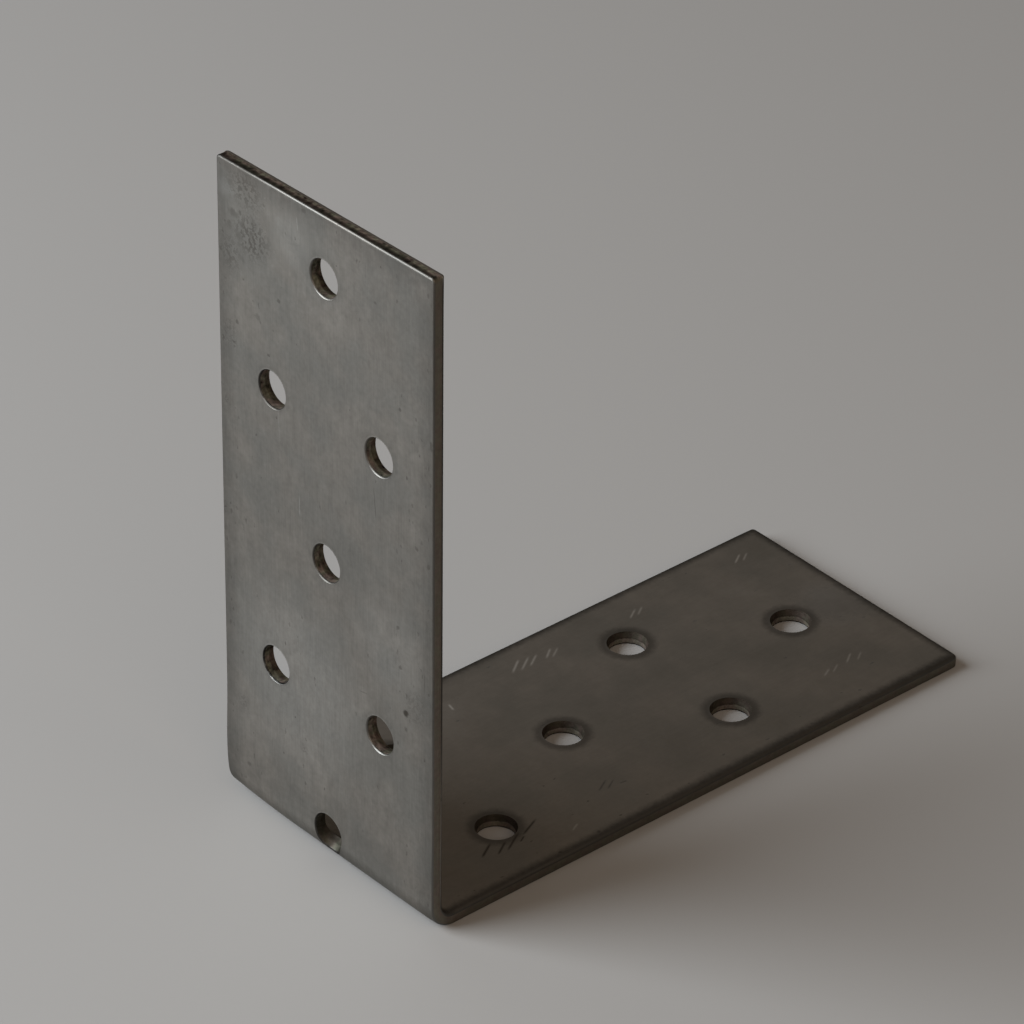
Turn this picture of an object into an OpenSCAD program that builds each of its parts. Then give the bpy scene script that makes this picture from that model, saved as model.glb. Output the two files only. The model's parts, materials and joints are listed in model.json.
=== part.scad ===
// Angle bracket punched from a strip of sheet metal and folded once.
// The upright stands on the heel of the fold and the foot lies flat.
// The origin is at the middle of the footprint, at the level the foot lies on:
// X runs from the heel along the foot, Y across the strip, Z up the upright.

/* [Sheet] */
// Thickness of the sheet
sheet_t = 1.8; // [1.2:0.1:2.5]
// Width of the strip
strip_w = 40; // [36:1:60]
// Height of the upright, from the floor to its free end
upright_h = 93; // [60:1:140]
// Length of the foot, from the outside of the upright to its free end
foot_l = 90.6; // [60:0.1:140]
// Rounding of the strip's four corners, seen flat
corner_r = 0.6; // [0.6:0.1:4]

/* [Fold] */
// Radius on the inside of the fold
fold_r = 1.8; // [1:0.1:4]
// Share of the thickness, from the inside, that keeps its length in the fold
neutral_k = 0.35; // [0.2:0.01:0.5]

/* [Holes] */
// Diameter of each hole at its straight land
hole_d = 5; // [3:0.1:6.5]
// Distance from one row to the next, measured along the flat strip
row_pitch = 20; // [12:0.5:30]
// Distance between the two holes of a double row
pair_gap = 20; // [12:0.5:24]
// Distance from the upright's free end to its first row
first_row = 8.6; // [6:0.1:12]
// Least distance from the last row to the foot's free end
end_margin = 6; // [5:0.5:12]

/* [Punched and rounded edges] */
// Radius where the tool drew the outside face down, at holes and outline
roll_over = 0.25; // [0.1:0.05:0.35]
// Rounding of the outline on the inside face, as a finished edge has
edge_round = 0.5; // [0.2:0.05:0.55]
// Share of the thickness, from the outside, that the punch sheared clean
clean_share = 0.5; // [0.35:0.05:0.7]
// How far the torn part of a hole's wall opens by the inside face
break_out = 0.25; // [0.05:0.05:0.4]

/* [Hidden] */
$fn = 96;
slack = 0.01;
over = 1;

hole_r = hole_d / 2;
clean_t = sheet_t * clean_share;
outer_r = fold_r + sheet_t;
neutral_r = fold_r + neutral_k * sheet_t;

// Lengths along the flat strip, from the upright's free end:
// the fold starts at fold_a and ends at fold_b.
fold_a = upright_h - outer_r;
fold_b = fold_a + neutral_r * PI / 2;
strip_l = fold_b + foot_l - outer_r;

// Rows of holes. The first is single, the next double, and so on in turn.
rows = floor((strip_l - first_row - end_margin) / row_pitch);
function row_at(i) = first_row + i * row_pitch;
function row_holes(i) = i % 2 == 0 ? [0] : [-pair_gap / 2, pair_gap / 2];
reach = hole_r + max(roll_over, break_out);

// Turn, in degrees, that the fold has made by length s.
function turn_at(s) = 90 * min(1, max(0, (s - fold_a) / (fold_b - fold_a)));

// Point of the folded strip: s along it, y across it, d below its outside face.
function folded(s, y, d) =
    let (
        a = turn_at(s),
        up = max(0, fold_a - s),
        on = max(0, s - fold_b),
        r = outer_r - d
    )
    [outer_r - r * cos(a) + on, y, outer_r - r * sin(a) + up];

// Radius of a hole's wall at depth d: drawn over, clean, then torn open.
function wall_r(d) =
    d <= 0 ? hole_r + roll_over
    : d < roll_over ? hole_r + roll_over - sqrt(pow(roll_over, 2) - pow(roll_over - d, 2))
    : d <= clean_t ? hole_r
    : hole_r + break_out * (d - clean_t) / (sheet_t - clean_t);

// What a rounding of radius r takes from a corner at the origin, whose two
// sides run along -X and +Y.
module rounding_off(r) {
    translate([-r, r])
        difference() {
            translate([0, -r - over]) square(r + over);
            circle(r = r);
        }
}

// Section of the sheet from its middle line to one edge, w away along X.
// The outside face lies at Y = 0 and the inside face at Y = sheet_t.
module edge_section(w) {
    difference() {
        square([w, sheet_t]);
        translate([w, 0]) rounding_off(roll_over);
        translate([w, sheet_t]) mirror([0, 1]) rounding_off(edge_round);
    }
}

// One flat leg of length l, lying in X from 0, its outside face at Z = 0 and
// its free end at X = l, with the two free corners rounded.
module leg(l) {
    half = strip_w / 2;
    // Body of the leg, between the rounded corners and up to their centres.
    for (side = [0, 1]) mirror([0, side, 0])
        rotate([90, 0, 90]) linear_extrude(l - corner_r) edge_section(half);
    // The strip between the two corners, with the free end's own edge.
    translate([l - corner_r - slack, half - corner_r, 0])
        rotate([90, 0, 0]) linear_extrude(strip_w - 2 * corner_r)
            edge_section(corner_r + slack);
    // The two corners, turned about their centres.
    for (side = [-1, 1])
        translate([l - corner_r, side * (half - corner_r), 0])
            rotate_extrude() edge_section(corner_r);
}

// The folded strip before the holes are cut.
module strip() {
    // Upright: the leg turned so that its outside face looks along -X.
    translate([0, 0, outer_r]) mirror([1, 0, -1]) leg(upright_h - outer_r);
    // Foot: its outside face is the underside.
    translate([outer_r, 0, 0]) leg(foot_l - outer_r);
    // The fold between them: a quarter turn of the same section.
    translate([outer_r, 0, outer_r]) rotate([-90, 0, 0])
        for (side = [0, 1]) mirror([0, 0, side])
            rotate([0, 0, 90]) rotate_extrude(angle = 90)
                translate([outer_r, 0]) rotate([0, 0, 90]) edge_section(strip_w / 2);
}

// A punched hole, cut down from Z = 0: drawn-over mouth, clean land, torn taper.
module punched_hole() {
    translate([0, 0, -over]) cylinder(r = hole_r, h = over * 2 + sheet_t);
    // Mouth: the ring that the roll-over takes from the outside face.
    rotate_extrude() difference() {
        translate([0, -over]) square([hole_r + roll_over, over + roll_over]);
        translate([hole_r + roll_over, roll_over]) circle(r = roll_over);
    }
    // Torn part: opens evenly from the end of the land to past the inside face.
    translate([0, 0, clean_t])
        cylinder(r1 = hole_r, r2 = wall_r(sheet_t + over), h = sheet_t + over - clean_t);
}

// A hole that the fold carries round with it. It was round when the strip was
// flat, so each depth of its wall is a circle wrapped about the fold, and the
// wall's lines all point at the fold's axis.
module folded_hole(s0, y0) {
    sides = 48;
    beyond = fold_r / 3;
    depths = concat(
        [-over],
        [for (i = [0:3]) roll_over * (0.1 + 0.3 * i)],
        [clean_t, sheet_t + beyond]
    );
    function ring(d) = [
        for (i = [0:sides - 1])
            let (a = 360 * (i + 0.5) / sides)
            folded(s0 - wall_r(d) * cos(a), y0 + wall_r(d) * sin(a), d)
    ];
    last = len(depths) - 1;
    polyhedron(
        points = [for (d = depths) each ring(d)],
        faces = concat(
            [[for (i = [0:sides - 1]) sides - 1 - i]],
            [for (j = [0:last - 1], i = [0:sides - 1])
                let (
                    k = (i + 1) % sides,
                    a = j * sides + i,
                    b = j * sides + k
                )
                each [[a, b, b + sides], [a, b + sides, a + sides]]],
            [[for (i = [0:sides - 1]) last * sides + i]]
        )
    );
}

// All of the holes, each where the fold has taken it.
module holes() {
    for (i = [0:rows], y = row_holes(i)) {
        s = row_at(i);
        if (s + reach <= fold_a)
            translate([0, y, upright_h - s]) rotate([0, 90, 0]) punched_hole();
        else if (s - reach >= fold_b)
            translate([outer_r + s - fold_b, y, 0]) punched_hole();
        else
            folded_hole(s, y);
    }
}

module angle_bracket() {
    color([0.47, 0.46, 0.44])
        translate([-foot_l / 2, 0, 0])
            difference() {
                strip();
                holes();
            }
}

angle_bracket();
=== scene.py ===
"""Looks of a corner brace bracket: one strip of stainless sheet, punched and folded once.

The strip is described flat first: s runs along it from the upright's free end, y across it,
and d down through its thickness from the outside face. Every point of the mesh is made in
those three numbers and then carried round the fold, and each finish reads them too, so that
grain, stains and scratches follow the sheet. Lengths are in metres, and those of single marks
and scratches in millimetres.
"""
from __future__ import annotations

import json
import logging
import math
from dataclasses import dataclass
from enum import Enum
from functools import reduce

import bpy
import numpy as np
from mathutils import Euler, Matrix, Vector

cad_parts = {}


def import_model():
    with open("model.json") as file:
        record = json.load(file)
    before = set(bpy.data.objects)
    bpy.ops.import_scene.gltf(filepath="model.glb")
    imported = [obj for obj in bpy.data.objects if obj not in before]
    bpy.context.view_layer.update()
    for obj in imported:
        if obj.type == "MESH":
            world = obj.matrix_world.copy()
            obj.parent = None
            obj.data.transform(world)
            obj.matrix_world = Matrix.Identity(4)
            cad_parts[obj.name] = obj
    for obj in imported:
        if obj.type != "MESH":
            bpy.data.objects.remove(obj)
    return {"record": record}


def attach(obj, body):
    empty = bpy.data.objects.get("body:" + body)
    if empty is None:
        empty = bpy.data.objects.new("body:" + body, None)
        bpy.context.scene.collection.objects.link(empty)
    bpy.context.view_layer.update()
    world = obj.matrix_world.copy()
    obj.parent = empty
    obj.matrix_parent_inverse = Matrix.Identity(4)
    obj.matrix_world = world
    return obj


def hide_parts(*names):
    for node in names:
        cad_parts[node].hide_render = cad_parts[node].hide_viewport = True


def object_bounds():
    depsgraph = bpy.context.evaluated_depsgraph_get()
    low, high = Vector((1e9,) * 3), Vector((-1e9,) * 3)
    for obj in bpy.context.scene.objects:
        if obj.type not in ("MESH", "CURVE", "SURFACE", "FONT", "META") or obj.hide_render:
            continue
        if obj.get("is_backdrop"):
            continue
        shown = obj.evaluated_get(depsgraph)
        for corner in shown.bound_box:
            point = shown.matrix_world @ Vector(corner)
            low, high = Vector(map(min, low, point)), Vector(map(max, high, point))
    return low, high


LOG = logging.getLogger("bracket")
Array = np.ndarray
Socket = bpy.types.NodeSocket
Tree = bpy.types.NodeTree
MM = 0.001
# Tint of the metal's reflection at a grazing angle. It holds back the glare of the window.
GRAZING = (0.35, 0.35, 0.35, 1.0)
# Two depths closer together than this count as one.
TOUCH = 1e-9
# Numbers of quads across the drawn-over mouth, each straight stretch of a cut edge, the finished
# rim of the outline, and the strip of face between the outline and the squares round the holes.
MOUTH_BANDS, STRAIGHT_BANDS, FINISHED_BANDS, MARGIN_BANDS = 5, 3, 6, 3
# Quads round one corner of the outline.
CORNER_BANDS = 8
# Clouds on the faces and on the cut edges: how fine, where in the noise, in how many layers.
PATCHES, MOTTLE, FLECKS = (105.0, 0.0, 3.0), (460.0, 7.0, 4.0), (1500.0, 2.0, 3.0)
DIRT, CRUST = (520.0, 3.0, 3.0), (1600.0, 5.0, 3.0)
CRUMBS, HUES = (5200.0, 1.0, 4.0), (800.0, 11.0, 2.0)


def fade(gap: Array, size: float, reach: float, power: float = 1.0) -> Array:
    """Falls as a power from a size, where the gap is nothing, to 0, where it is the reach."""
    return size * np.clip(1.0 - gap / reach, 0.0, 1.0) ** power


def hump(gap: Array, size: float, spread: float) -> Array:
    """Rises to a size where the gap is nothing and falls to both sides as a bell curve."""
    return size * np.exp(-((gap / spread) ** 2))


def trail(gap: Array, size: float, reach: float) -> Array:
    """Keeps a size up to where the gap is nothing and then falls as an exponential."""
    return size * np.exp(-np.maximum(0.0, gap) / reach)


class Zone(Enum):
    """Material slots of the bracket's mesh."""

    OUTSIDE = 0
    INSIDE = 1
    CUT = 2


@dataclass(frozen=True)
class Strip:
    """The flat strip, its holes and its one fold.

    Args:
        low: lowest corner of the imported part's box.
        high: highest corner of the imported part's box.
        rows: distance of each row of holes from the upright's free end, as (s, (y, ...)).
        thickness: thickness of the sheet.
        fold_radius: radius of the fold on its inside.
        neutral_share: depth of the fold's neutral layer from the inside, in thicknesses.
        corner_radius: radius of the outline's corners.
        hole_radius: radius of a hole's sheared wall.
        roll_over: radius to which the outside face is drawn over a cut edge.
        edge_round: radius of the outline's finished rim on the inside face.
        clean_share: depth to which the tool sheared clean, in thicknesses.
        break_out: how far the torn part of a hole opens.
        end_margin: least length of sheet between the last row of holes and the foot's end.
    """

    low: tuple[float, float, float]
    high: tuple[float, float, float]
    rows: tuple[tuple[float, tuple[float, ...]], ...]
    thickness: float = 1.8 * MM
    fold_radius: float = 1.8 * MM
    neutral_share: float = 0.35
    corner_radius: float = 0.6 * MM
    hole_radius: float = 2.5 * MM
    roll_over: float = 0.25 * MM
    edge_round: float = 0.5 * MM
    clean_share: float = 0.5
    break_out: float = 0.25 * MM
    end_margin: float = 6.0 * MM

    @classmethod
    def from_part(cls, low: Vector, high: Vector, record: dict) -> "Strip":
        """Reads the strip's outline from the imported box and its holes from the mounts.

        Args:
            low: lowest corner of the part.
            high: highest corner of the part.
            record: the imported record, whose bolt patterns give pitch and first row.

        Returns:
            The strip with one entry for each row of holes.
        """
        bare = cls(tuple(low), tuple(high), ())
        mounts = {mount["name"]: mount for mount in record["mounts"]}
        middle = mounts["upright_middle_holes"]
        corner = mounts["upright_corner_holes"]
        pitch = middle["dims"]["spacing_y_mm"] * MM / 2
        half_gap = corner["dims"]["spacing_x_mm"] * MM / 2
        first = bare.high[2] - (middle["pos_m"][2] + pitch)
        count = int((bare.length - first - bare.end_margin) / pitch) + 1
        rows = tuple(
            (first + i * pitch, (0.0,) if i % 2 == 0 else (-half_gap, half_gap))
            for i in range(count)
        )
        return cls(tuple(low), tuple(high), rows)

    @property
    def half_width(self) -> float:
        """Half of the strip's width."""
        return (self.high[1] - self.low[1]) / 2

    @property
    def outer_radius(self) -> float:
        """Radius of the fold on its outside."""
        return self.fold_radius + self.thickness

    @property
    def fold_start(self) -> float:
        """Length along the strip at which the fold starts."""
        return self.high[2] - self.low[2] - self.outer_radius

    @property
    def fold_end(self) -> float:
        """Length along the strip at which the fold ends."""
        neutral = self.fold_radius + self.neutral_share * self.thickness
        return self.fold_start + neutral * math.pi / 2

    @property
    def length(self) -> float:
        """Length of the flat strip."""
        return self.fold_end + (self.high[0] - self.low[0]) - self.outer_radius

    @property
    def clean_depth(self) -> float:
        """Depth to which the tool sheared the metal clean."""
        return self.clean_share * self.thickness

    def folded_share(self, s: Array) -> Array:
        """Share of the fold that each length along the strip has run through, from 0 to 1."""
        return np.clip((s - self.fold_start) / (self.fold_end - self.fold_start), 0.0, 1.0)

    def hole_gaps(self, flat: Array) -> list[Array]:
        """Measures how far each point lies from the rims of the holes.

        Args:
            flat: array of (s, y, d).

        Returns:
            One array of distances for each hole, below 0 inside it.
        """
        return [
            np.hypot(flat[:, 0] - row, flat[:, 1] - offset) - self.hole_radius
            for row, across in self.rows for offset in across
        ]

    def fold(self, flat: Array) -> Array:
        """Carries points of the flat strip round the fold.

        A point turns through the share of a right angle that its s has run into the fold.
        It lies at the outer radius less its depth from the fold's axis. What is left of s
        before the fold goes straight up, and what is left after it goes along the foot.

        Args:
            flat: array of (s, y, d), one row for each point.

        Returns:
            Array of (x, y, z), one row for each point.
        """
        s, y, d = flat.T
        turn = self.folded_share(s) * math.pi / 2
        up = np.maximum(0.0, self.fold_start - s)
        along = np.maximum(0.0, s - self.fold_end)
        reach = self.outer_radius - d
        x = self.low[0] + self.outer_radius - reach * np.cos(turn) + along
        z = self.low[2] + self.outer_radius - reach * np.sin(turn) + up
        return np.column_stack((x, y, z))

    def gaps(self, flat: Array) -> Array:
        """Finds how far each point lies from the nearest hole and from the outline.

        Args:
            flat: array of (s, y, d).

        Returns:
            Array of (distance to the nearest hole's rim, distance to the outline, 0).
        """
        s = flat[:, 0]
        side = self.half_width - np.abs(flat[:, 1])
        outline = np.minimum(side, np.minimum(s, self.length - s))
        return np.column_stack((np.min(self.hole_gaps(flat), axis=0), outline, np.zeros(len(s))))


@dataclass(frozen=True)
class Settling:
    """Small marks that punching, folding and handling leave on the shape of a strip.

    A pair is the size of a mark and the distance over which it fades.

    Args:
        strip: the strip.
        dish: how the outside face sinks at the rim of a hole.
        burr: how the inside face stands up there.
        side_bulge: how the long edges swell on the inside of the fold.
        bulge_still: depth at which they stay in place, in thicknesses.
        near_curl: how the fold curls in towards its axis at its near end.
        far_curl: how it does at its far end.
        belly: how far the fold stands out.
        fold_spread: reach of the curls and the belly along the strip.
        bow: how the upright stands out above the fold.
        bow_lift: how far above the middle of the fold that is.
        bow_lean: share of the bow that is gone at mid-width, and twice that at the near side.
        droop: how the inside face slopes off at the long sides and the foot's end.
        droop_start: length from the free end over which that sets in.
        kept_rim: share of its distance from the free end that the inside rim there loses.
        soft_corner: how the corners of the foot's end are worn back.
        top_slant: slope of the upright's free end across the strip.
        foot_slant: slope of the foot's end.
        slant_reach: length over which a slope fades into the strip.
    """

    strip: Strip
    dish: tuple = (0.03 * MM, 0.5 * MM)
    burr: tuple = (0.03 * MM, 0.12 * MM)
    side_bulge: tuple = (0.14 * MM, 2.16 * MM)
    bulge_still: float = 0.45
    near_curl: tuple = (0.10 * MM, 3.0 * MM)
    far_curl: tuple = (0.38 * MM, 14.0 * MM)
    belly: float = 0.15 * MM
    fold_spread: float = 2.2 * MM
    bow: tuple = (0.20 * MM, 5.5 * MM)
    bow_lift: float = 6.5 * MM
    bow_lean: float = 0.35
    droop: tuple = (0.05 * MM, 1.5 * MM)
    droop_start: float = 4.0 * MM
    kept_rim: float = 0.6
    soft_corner: tuple = (0.08 * MM, 2.2 * MM)
    top_slant: float = 0.0165
    foot_slant: float = 0.011
    slant_reach: float = 5.0 * MM

    def deepen(self, flat: Array, y: Array) -> Array:
        """Dishes and burrs the holes, curls and bellies the fold and bows the upright.

        The face sinks and stands up as an exponential beyond the rim's own rounding. Curl,
        belly and bow are bell curves along the strip. The curls grow as the square of the
        nearness to their end of the fold, and the bow grows evenly to the far side.

        Args:
            flat: array of (s, y, d).
            y: place of each point across the strip once its edges have swollen.

        Returns:
            How much deeper each point comes to lie.
        """
        strip = self.strip
        s, across, depth = flat.T
        on_outside = depth < TOUCH
        on_inside = depth > strip.thickness - TOUCH
        away = s - (strip.fold_start + strip.fold_end) / 2
        curl = fade(strip.half_width + y, *self.near_curl, 2.0)
        curl = curl + fade(strip.half_width - y, *self.far_curl, 2.0)
        lean = 1.0 + self.bow_lean * (np.clip(across / strip.half_width, -1.0, 1.0) - 1.0)
        deeper = hump(away, 1.0, self.fold_spread) * (curl - self.belly)
        deeper = deeper - hump(away + self.bow_lift, *self.bow) * lean
        for gap in strip.hole_gaps(flat):
            deeper = deeper + on_outside * trail(gap - strip.roll_over, *self.dish)
            deeper = deeper + on_inside * trail(gap - strip.break_out, *self.burr)
        return deeper

    def settle(self, flat: Array) -> Array:
        """Gives the flat strip all of its small marks.

        In the fold the edges swell on the inside and draw in on the outside, as half a wave
        along the strip times the square of the nearness to the edge. Along the long sides
        and the foot's end the inside face slopes off as a parabola. The inside rim of the
        upright's free end keeps closer to the end, most in the last fifth of the thickness
        and the first half millimetre. The corners of the foot's end are worn rounder. Both
        ends are cut a little out of square, so s shifts there in proportion to y.

        Args:
            flat: array of (s, y, d).

        Returns:
            The array with its small shifts added.
        """
        strip = self.strip
        s, across, depth = flat.T
        down = depth / strip.thickness
        side = strip.half_width - np.abs(across)
        wave = np.sin(math.pi * strip.folded_share(s)) * (down - self.bulge_still)
        y = across + np.sign(across) * wave * fade(side, *self.side_bulge, 2.0)
        d = depth + self.deepen(flat, y)
        slope = fade(np.minimum(side, strip.length - s), *self.droop, 2.0)
        d = d - slope * np.clip(s / self.droop_start, 0.0, 1.0) * np.clip(2 * down - 1, 0.0, 1.0)
        rim = np.clip(5 * down - 3, 0.0, 1.0) * np.clip(1.5 - s / MM, 0.0, 1.0)
        s = s * (1.0 - self.kept_rim * rim)
        left = strip.length - s
        worn, reach = self.soft_corner
        pull = fade(side, worn, reach, 2.0) * fade(left, 1.0, reach, 2.0)
        slant = fade(s, self.top_slant, self.slant_reach)
        slant = slant + fade(left, self.foot_slant, self.slant_reach)
        return np.column_stack((s - pull + across * slant, y - np.sign(y) * pull, d))


class SheetMesh:
    """Collects grids of flat points and turns them into one closed, folded mesh."""

    # Points closer than this in the flat strip are one.
    WELD = 1e-8
    # Length of flat strip that the UV map's side of 1 covers.
    UV_LENGTH = 0.2
    # Edges that turn by more than this stay sharp.
    SHARP = math.radians(38)

    def __init__(self, strip: Strip) -> None:
        """Starts an empty mesh.

        Args:
            strip: the strip that the points lie on.
        """
        self.strip = strip
        self.points: list[Array] = []
        self.quads: list[Array] = []
        self.zones: list[Array] = []
        self.total = 0

    def add(self, grid: Array, zones: Array, wrap: bool, outward: tuple) -> None:
        """Adds a grid of points as quads that face outwards.

        Args:
            grid: array of shape (m, n, 3) of flat points.
            zones: m - 1 zone numbers, one for each band of quads between two rows.
            wrap: whether the last column joins the first.
            outward: the direction, in flat axes, that the grid's first band faces.
        """
        m, n = grid.shape[:2]
        index = np.arange(m * n).reshape(m, n)
        if wrap:
            index = np.concatenate((index, index[:, :1]), axis=1)
        quads = np.stack(
            (index[:-1, :-1], index[:-1, 1:], index[1:, 1:], index[1:, :-1]), axis=-1
        )
        corner = grid.reshape(-1, 3)[quads[0]]
        facing = np.cross(corner[:, 2] - corner[:, 0], corner[:, 3] - corner[:, 1])
        if facing.sum(axis=0) @ np.asarray(outward, float) < 0:
            quads = quads[..., ::-1]
        columns = quads.shape[1]
        self.points.append(grid.reshape(-1, 3))
        self.quads.append(quads.reshape(-1, 4) + self.total)
        self.zones.append(np.repeat(np.asarray(zones), columns))
        self.total += m * n

    def build(self, name: str) -> bpy.types.Object:
        """Welds the grids and makes the folded mesh object.

        Points that share a place in the flat strip become one. A quad with two corners in
        one point becomes a triangle.

        Args:
            name: name of the object.

        Returns:
            The finished object, with its flat coordinates stored as an attribute.
        """
        points = np.concatenate(self.points)
        keys = np.round(points / self.WELD).astype(np.int64)
        _, first, inverse = np.unique(keys, axis=0, return_index=True, return_inverse=True)
        flat = points[first]
        quads = inverse.reshape(-1)[np.concatenate(self.quads)]
        zones = np.concatenate(self.zones)
        same = quads == np.roll(quads, -1, axis=1)
        whole = ~same.any(axis=1)
        fans = quads[~whole]
        keep = ~same[~whole]
        triangles = fans[keep].reshape(-1, 3)
        faces = quads[whole].tolist() + triangles.tolist()
        slots = np.concatenate((zones[whole], zones[~whole]))
        mesh = bpy.data.meshes.new(name)
        settled = Settling(self.strip).settle(flat)
        mesh.from_pydata(self.strip.fold(settled).tolist(), [], faces)
        mesh.polygons.foreach_set("material_index", slots.astype(np.int32))
        mesh.polygons.foreach_set("use_smooth", np.ones(len(faces), bool))
        for label, values in (("flat", flat), ("gaps", self.strip.gaps(flat))):
            layer = mesh.attributes.new(label, "FLOAT_VECTOR", "POINT")
            layer.data.foreach_set("vector", values.astype(np.float32).ravel())
        corner_of = np.empty(len(mesh.loops), np.int32)
        mesh.loops.foreach_get("vertex_index", corner_of)
        layer = mesh.uv_layers.new(name="strip")
        layer.data.foreach_set("uv", (flat[corner_of, :2] / self.UV_LENGTH).astype(np.float32).ravel())
        mesh.update()
        mesh.set_sharp_from_angle(angle=self.SHARP)
        mesh.validate()
        piece = bpy.data.objects.new(name, mesh)
        bpy.context.scene.collection.objects.link(piece)
        return piece


@dataclass(frozen=True)
class Bracket:
    """The folded bracket as one fine mesh.

    Args:
        strip: the strip that it is folded from.
        spacing: rough length of a quad's side away from the holes.
        rings: bands of quads between a hole's rim and the edge of its square of sheet.
        crowding: power by which those bands narrow towards the rim.
    """

    strip: Strip
    spacing: float = 0.6 * MM
    rings: int = 10
    crowding: float = 1.8

    @staticmethod
    def around(span: Array, across: Array) -> tuple[Array, ...]:
        """Goes round a rectangle of sheet.

        Args:
            span: values of s along its sides.
            across: values of y along its ends.

        Returns:
            The points of its four sides in turn, each as an array of (s, y).
        """
        return (
            np.column_stack((span, np.full(len(span), across[0]))),
            np.column_stack((np.full(len(across), span[-1]), across)),
            np.column_stack((span[::-1], np.full(len(span), across[-1]))),
            np.column_stack((np.full(len(across), span[0]), across[::-1])),
        )

    def drawn_over(self) -> tuple[Array, Array]:
        """Quarter circle where the tool drew the outside face down.

        Returns:
            How far each point lies back from the cut, from one radius to none, and its depth.
        """
        turn = np.linspace(0.0, math.pi / 2, MOUTH_BANDS + 1)
        radius = self.strip.roll_over
        return radius * (1.0 - np.sin(turn)), radius * (1.0 - np.cos(turn))

    def hole_wall(self) -> tuple[Array, Array]:
        """Profile of a hole's wall from its outside rim to its inside rim.

        A quarter circle, then the straight land that the punch sheared, and then the torn
        part, which opens evenly.

        Returns:
            Radii and depths.
        """
        strip = self.strip
        back, down = self.drawn_over()
        share = np.linspace(0.0, 1.0, STRAIGHT_BANDS + 1)[1:]
        land = down[-1] + (strip.clean_depth - down[-1]) * share
        torn = strip.clean_depth + (strip.thickness - strip.clean_depth) * share
        radii = strip.hole_radius + np.concatenate((back, 0.0 * share, strip.break_out * share))
        return radii, np.concatenate((down, land, torn))

    def outline_edge(self) -> tuple[Array, Array]:
        """Profile of the outline's edge, from the outside face to the inside one.

        A small quarter circle, then straight, and then the larger quarter circle of the
        finished edge on the inside face.

        Returns:
            How far each point stands out from the corner centres, and its depth.
        """
        strip = self.strip
        back, down = self.drawn_over()
        turn = np.linspace(0.0, math.pi / 2, FINISHED_BANDS + 1)
        soft_out = -strip.edge_round * (1.0 - np.cos(turn))
        soft_down = strip.thickness - strip.edge_round * (1.0 - np.sin(turn))
        share = np.linspace(0.0, 1.0, STRAIGHT_BANDS + 1)[1:-1]
        plain = down[-1] + (soft_down[0] - down[-1]) * share
        out = strip.corner_radius + np.concatenate((-back, 0.0 * share, soft_out))
        return out, np.concatenate((down, plain, soft_down))

    def hole_grid(self, span: Array, across: Array, centre: tuple) -> Array:
        """Grid round one hole, from its square's edge over the wall and back below.

        Each column is a ray from the hole's centre to a point on the edge of the square.
        Its radius falls from the edge to the rim as a power curve, follows the wall's
        profile through the sheet, and grows back to the edge on the inside face.

        Args:
            span: values of s along the square's sides.
            across: values of y along its ends.
            centre: the hole's (s, y).

        Returns:
            Array of shape (stations, rays, 3).
        """
        strip = self.strip
        edge = np.concatenate([side[:-1] for side in self.around(span, across)])
        ray = edge - np.asarray(centre)
        far = np.hypot(ray[:, 0], ray[:, 1])
        radii, down = self.hole_wall()
        share = np.linspace(1.0, 0.0, self.rings + 1)[:-1, None] ** self.crowding
        top = radii[0] + (far - radii[0]) * share
        back = (radii[-1] + (far - radii[-1]) * share)[::-1]
        walls = np.repeat(radii[:, None], len(far), axis=1)
        radius = np.concatenate((top, walls, back))
        depth = np.concatenate((
            np.zeros(self.rings), down, np.full(self.rings, strip.thickness)
        ))
        unit = ray / far[:, None]
        grid = np.empty((len(depth), len(far), 3))
        grid[..., :2] = np.asarray(centre) + unit * radius[..., None]
        grid[..., 2] = depth[:, None]
        grid[0, :, :2] = edge
        grid[-1, :, :2] = edge
        return grid

    def edge_grid(self, span: Array, across: Array) -> Array:
        """Grid round the whole outline, from the last squares over the cut edge and back.

        The path is the rectangle through the four corner centres. The profile is carried
        along it square to the path, and fans out round each corner centre.

        Args:
            span: every value of s on the long sides.
            across: every value of y on the short sides.

        Returns:
            Array of shape (stations, path points, 3).
        """
        strip = self.strip
        fan = np.linspace(0.0, math.pi / 2, CORNER_BANDS + 1)[1:-1]
        path = []
        heading = []
        for number, side in enumerate(self.around(span, across)):
            angle = (number - 1) * math.pi / 2
            path += [side, np.repeat(side[-1:], len(fan), axis=0)]
            heading += [np.full(len(side), angle), angle + fan]
        base = np.concatenate(path)
        angle = np.concatenate(heading)
        out, down = self.outline_edge()
        run = np.linspace(0.0, 1.0, MARGIN_BANDS + 1)[:-1]
        offset = np.concatenate((out[0] * run, out, (out[-1] * run)[::-1]))
        depth = np.concatenate((0.0 * run, down, np.full(len(run), strip.thickness)))
        unit = np.column_stack((np.cos(angle), np.sin(angle)))
        grid = np.empty((len(depth), len(base), 3))
        grid[..., :2] = base + unit * offset[:, None, None]
        grid[..., 2] = depth[:, None]
        return grid

    @staticmethod
    def zones(outside: int, cut: int, inside: int) -> Array:
        """Numbers the bands of a grid that runs over a cut edge, from outside to inside."""
        values = [zone.value for zone in (Zone.OUTSIDE, Zone.CUT, Zone.INSIDE)]
        return np.repeat(values, (outside, cut, inside))

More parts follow.
